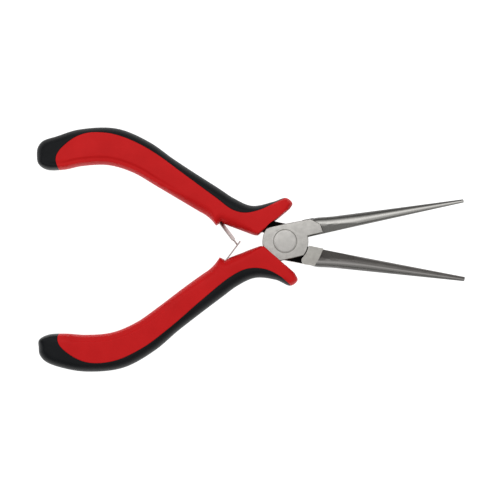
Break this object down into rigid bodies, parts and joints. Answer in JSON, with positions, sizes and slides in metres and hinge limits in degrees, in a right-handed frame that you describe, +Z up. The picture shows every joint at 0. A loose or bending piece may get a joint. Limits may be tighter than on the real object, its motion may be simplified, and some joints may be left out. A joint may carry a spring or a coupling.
{
  "type": "round nose pliers",
  "caption": "Round nose pliers with long tapering conical jaws, a flush riveted lap joint, crossed leaf return springs and curved two-colour grips.",
  "frame": {"origin": "bottom centre of the bounding box, on the surface the pliers lie on", "axes": "+X towards the jaw tips along the bisector of the open jaws, +Y towards the jaw whose lap plate is on top, +Z up, along the rivet"},
  "size_m": [0.1493, 0.0855, 0.011],
  "materials": {
    "steel": "satin, finely ground; black oxide on the recessed lap faces",
    "rivet_steel": "satin",
    "spring_steel": "bright rolled strip",
    "red_plastic": "fine matte moulded",
    "black_soft_plastic": "matte soft-touch"
  },
  "bodies": {
    "upper_jaw_side": {"upper_jaw_arm": "steel", "pivot_rivet": "rivet_steel", "lower_handle_grip": "red_plastic", "lower_handle_inlay": "black_soft_plastic", "lower_spring_rivet": "rivet_steel"},
    "lower_jaw_side": {"lower_jaw_arm": "steel", "upper_handle_grip": "red_plastic", "upper_handle_inlay": "black_soft_plastic", "upper_spring_rivet": "rivet_steel"},
    "lower_leaf": {"lower_leaf_spring": "spring_steel"},
    "upper_leaf": {"upper_leaf_spring": "spring_steel"}
  },
  "joints": [
    {"name": "jaw_pivot", "type": "hinge", "parent": "upper_jaw_side", "child": "lower_jaw_side", "pos_m": [0.0119, 0.0019, 0.0055], "axis": [0, 0, 1], "range_deg": [-5, 23.3], "stiffness_Nm_per_rad": 0.8},
    {"name": "lower_leaf_bend", "type": "hinge", "parent": "upper_jaw_side", "child": "lower_leaf", "pos_m": [-0.00901, -0.00454, 0.0055], "axis": [0, 0, 1], "range_deg": [-28, 6], "deforming": ["lower_leaf_spring"]},
    {"name": "upper_leaf_bend", "type": "hinge", "parent": "lower_jaw_side", "child": "upper_leaf", "pos_m": [-0.01017, 0.00843, 0.0055], "axis": [0, 0, 1], "range_deg": [-7, 31.2], "deforming": ["upper_leaf_spring"]}
  ],
  "couplings": [
    {"joint": "lower_leaf_bend", "follows": "jaw_pivot", "ratio": -1.14},
    {"joint": "upper_leaf_bend", "follows": "jaw_pivot", "ratio": 1.32}
  ]
}
